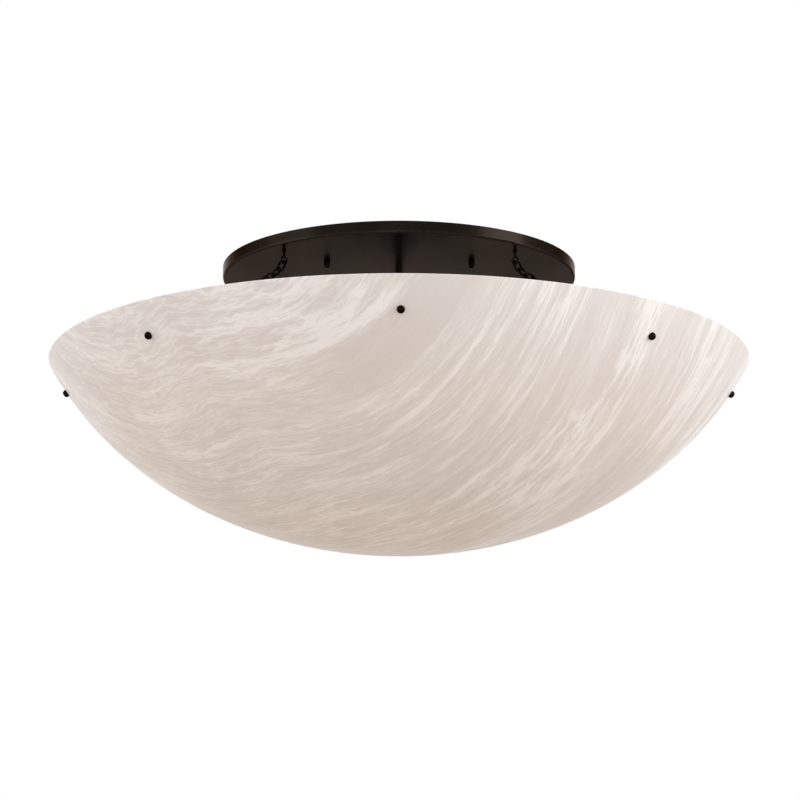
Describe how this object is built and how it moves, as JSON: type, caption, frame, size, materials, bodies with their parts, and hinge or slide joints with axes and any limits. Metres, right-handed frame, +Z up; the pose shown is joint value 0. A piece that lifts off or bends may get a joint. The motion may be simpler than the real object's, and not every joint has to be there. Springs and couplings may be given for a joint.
{
  "type": "semi-flush ceiling light",
  "caption": "Wide shallow faux-alabaster bowl light on a round ceiling pan, with a lamp cluster on a short stem, a ring frame, side chains and small domed knobs.",
  "frame": {"origin": "centre of the ceiling box screw pattern, in the ceiling plane at the top of the crossbar and pan", "axes": "+Z up into the ceiling, along the stem; the pictured side faces -Y"},
  "size_m": [0.9131, 0.9132, 0.3737],
  "materials": {
    "bronze_paint": "dark bronze powder coat, satin",
    "zinc_steel": "zinc plated",
    "green_screw": "green dyed zinc",
    "brass": "formed brass sheet",
    "phenolic": "moulded phenolic",
    "lamp_glass": "frosted inside",
    "lamp_cap": "rolled thread",
    "lamp_insulator": "dark insulator",
    "alabaster_acrylic": "faux alabaster acrylic, satin",
    "soft_washer": "matt"
  },
  "bodies": {
    "light_frame": {"ceiling_crossbar": "zinc_steel", "ground_screw": "green_screw", "canopy_studs": "zinc_steel", "ceiling_pan": "bronze_paint", "stem_pipe": "bronze_paint", "stem_locknuts": "zinc_steel", "stem_washers": "zinc_steel", "stem_end_cap": "bronze_paint", "bell_cover": "bronze_paint", "cluster_body": "bronze_paint", "cluster_cover": "bronze_paint", "socket_nipples": "zinc_steel", "nipple_locknuts": "zinc_steel", "socket_contacts": "brass", "socket_body_1": "phenolic", "socket_body_2": "phenolic", "socket_body_3": "phenolic", "socket_body_4": "phenolic", "screw_shell_1": "brass", "screw_shell_2": "brass", "screw_shell_3": "brass", "screw_shell_4": "brass", "bowl_ring": "bronze_paint", "spoke_hub": "bronze_paint", "bowl_spokes": "bronze_paint", "ring_studs": "zinc_steel", "bowl_washers": "soft_washer", "bowl": "alabaster_acrylic", "eye_screws": "bronze_paint", "eye_screw_nuts": "zinc_steel", "chain_tabs": "bronze_paint"},
    "canopy_nut_1_body": {"canopy_nut_1": "bronze_paint"},
    "canopy_nut_2_body": {"canopy_nut_2": "bronze_paint"},
    "canopy_nut_3_body": {"canopy_nut_3": "bronze_paint"},
    "canopy_nut_4_body": {"canopy_nut_4": "bronze_paint"},
    "bowl_knob_1_body": {"bowl_knob_1": "bronze_paint"},
    "bowl_knob_2_body": {"bowl_knob_2": "bronze_paint"},
    "bowl_knob_3_body": {"bowl_knob_3": "bronze_paint"},
    "bowl_knob_4_body": {"bowl_knob_4": "bronze_paint"},
    "bowl_knob_5_body": {"bowl_knob_5": "bronze_paint"},
    "bowl_knob_6_body": {"bowl_knob_6": "bronze_paint"},
    "bowl_knob_7_body": {"bowl_knob_7": "bronze_paint"},
    "bowl_knob_8_body": {"bowl_knob_8": "bronze_paint"},
    "lamp_1_body": {"lamp_glass_1": "lamp_glass", "lamp_cap_1": "lamp_cap", "lamp_contact_1": "lamp_insulator"},
    "lamp_2_body": {"lamp_glass_2": "lamp_glass", "lamp_cap_2": "lamp_cap", "lamp_contact_2": "lamp_insulator"},
    "lamp_3_body": {"lamp_glass_3": "lamp_glass", "lamp_cap_3": "lamp_cap", "lamp_contact_3": "lamp_insulator"},
    "lamp_4_body": {"lamp_glass_4": "lamp_glass", "lamp_cap_4": "lamp_cap", "lamp_contact_4": "lamp_insulator"},
    "chain_1_body": {"chain_1": "bronze_paint"},
    "chain_2_body": {"chain_2": "bronze_paint"},
    "chain_3_body": {"chain_3": "bronze_paint"},
    "chain_4_body": {"chain_4": "bronze_paint"}
  },
  "joints": [
    {"name": "canopy_nut_1_turn", "type": "hinge", "parent": "light_frame", "child": "canopy_nut_1_body", "pos_m": [0.0932, 0.0932, -0.0195], "axis": [0, 0, 1], "continuous": true},
    {"name": "canopy_nut_2_turn", "type": "hinge", "parent": "light_frame", "child": "canopy_nut_2_body", "pos_m": [-0.0932, 0.0932, -0.0195], "axis": [0, 0, 1], "continuous": true},
    {"name": "canopy_nut_3_turn", "type": "hinge", "parent": "light_frame", "child": "canopy_nut_3_body", "pos_m": [-0.0932, -0.0932, -0.0195], "axis": [0, 0, 1], "continuous": true},
    {"name": "canopy_nut_4_turn", "type": "hinge", "parent": "light_frame", "child": "canopy_nut_4_body", "pos_m": [0.0932, -0.0932, -0.0195], "axis": [0, 0, 1], "continuous": true},
    {"name": "bowl_knob_1_turn", "type": "hinge", "parent": "light_frame", "child": "bowl_knob_1_body", "pos_m": [0.43572, 0, -0.16918], "axis": [0.8152, 0, -0.5792], "continuous": true},
    {"name": "bowl_knob_2_turn", "type": "hinge", "parent": "light_frame", "child": "bowl_knob_2_body", "pos_m": [0.3081, 0.3081, -0.16918], "axis": [0.5764, 0.5764, -0.5792], "continuous": true},
    {"name": "bowl_knob_3_turn", "type": "hinge", "parent": "light_frame", "child": "bowl_knob_3_body", "pos_m": [0, 0.43572, -0.16918], "axis": [0, 0.8152, -0.5792], "continuous": true},
    {"name": "bowl_knob_4_turn", "type": "hinge", "parent": "light_frame", "child": "bowl_knob_4_body", "pos_m": [-0.3081, 0.3081, -0.16918], "axis": [-0.5764, 0.5764, -0.5792], "continuous": true},
    {"name": "bowl_knob_5_turn", "type": "hinge", "parent": "light_frame", "child": "bowl_knob_5_body", "pos_m": [-0.43572, 0, -0.16918], "axis": [-0.8152, 0, -0.5792], "continuous": true},
    {"name": "bowl_knob_6_turn", "type": "hinge", "parent": "light_frame", "child": "bowl_knob_6_body", "pos_m": [-0.3081, -0.3081, -0.16918], "axis": [-0.5764, -0.5764, -0.5792], "continuous": true},
    {"name": "bowl_knob_7_turn", "type": "hinge", "parent": "light_frame", "child": "bowl_knob_7_body", "pos_m": [0, -0.43572, -0.16918], "axis": [0, -0.8152, -0.5792], "continuous": true},
    {"name": "bowl_knob_8_turn", "type": "hinge", "parent": "light_frame", "child": "bowl_knob_8_body", "pos_m": [0.3081, -0.3081, -0.16918], "axis": [0.5764, -0.5764, -0.5792], "continuous": true},
    {"name": "lamp_1_turn", "type": "hinge", "parent": "light_frame", "child": "lamp_1_body", "pos_m": [0.07071, 0.07071, -0.1065], "axis": [0.7071, 0.7071, 0], "continuous": true},
    {"name": "lamp_2_turn", "type": "hinge", "parent": "light_frame", "child": "lamp_2_body", "pos_m": [-0.07071, 0.07071, -0.1065], "axis": [-0.7071, 0.7071, 0], "continuous": true},
    {"name": "lamp_3_turn", "type": "hinge", "parent": "light_frame", "child": "lamp_3_body", "pos_m": [-0.07071, -0.07071, -0.1065], "axis": [-0.7071, -0.7071, 0], "continuous": true},
    {"name": "lamp_4_turn", "type": "hinge", "parent": "light_frame", "child": "lamp_4_body", "pos_m": [0.07071, -0.07071, -0.1065], "axis": [0.7071, -0.7071, 0], "continuous": true},
    {"name": "chain_1_swing", "type": "hinge", "parent": "light_frame", "child": "chain_1_body", "pos_m": [0.14827, 0.14827, -0.0308], "axis": [0.6055, 0.6055, -0.5165], "range_deg": [-8, 8]},
    {"name": "chain_2_swing", "type": "hinge", "parent": "light_frame", "child": "chain_2_body", "pos_m": [-0.14827, 0.14827, -0.0308], "axis": [-0.6055, 0.6055, -0.5165], "range_deg": [-8, 8]},
    {"name": "chain_3_swing", "type": "hinge", "parent": "light_frame", "child": "chain_3_body", "pos_m": [-0.14827, -0.14827, -0.0308], "axis": [-0.6055, -0.6055, -0.5165], "range_deg": [-8, 8]},
    {"name": "chain_4_swing", "type": "hinge", "parent": "light_frame", "child": "chain_4_body", "pos_m": [0.14827, -0.14827, -0.0308], "axis": [0.6055, -0.6055, -0.5165], "range_deg": [-8, 8]}
  ]
}
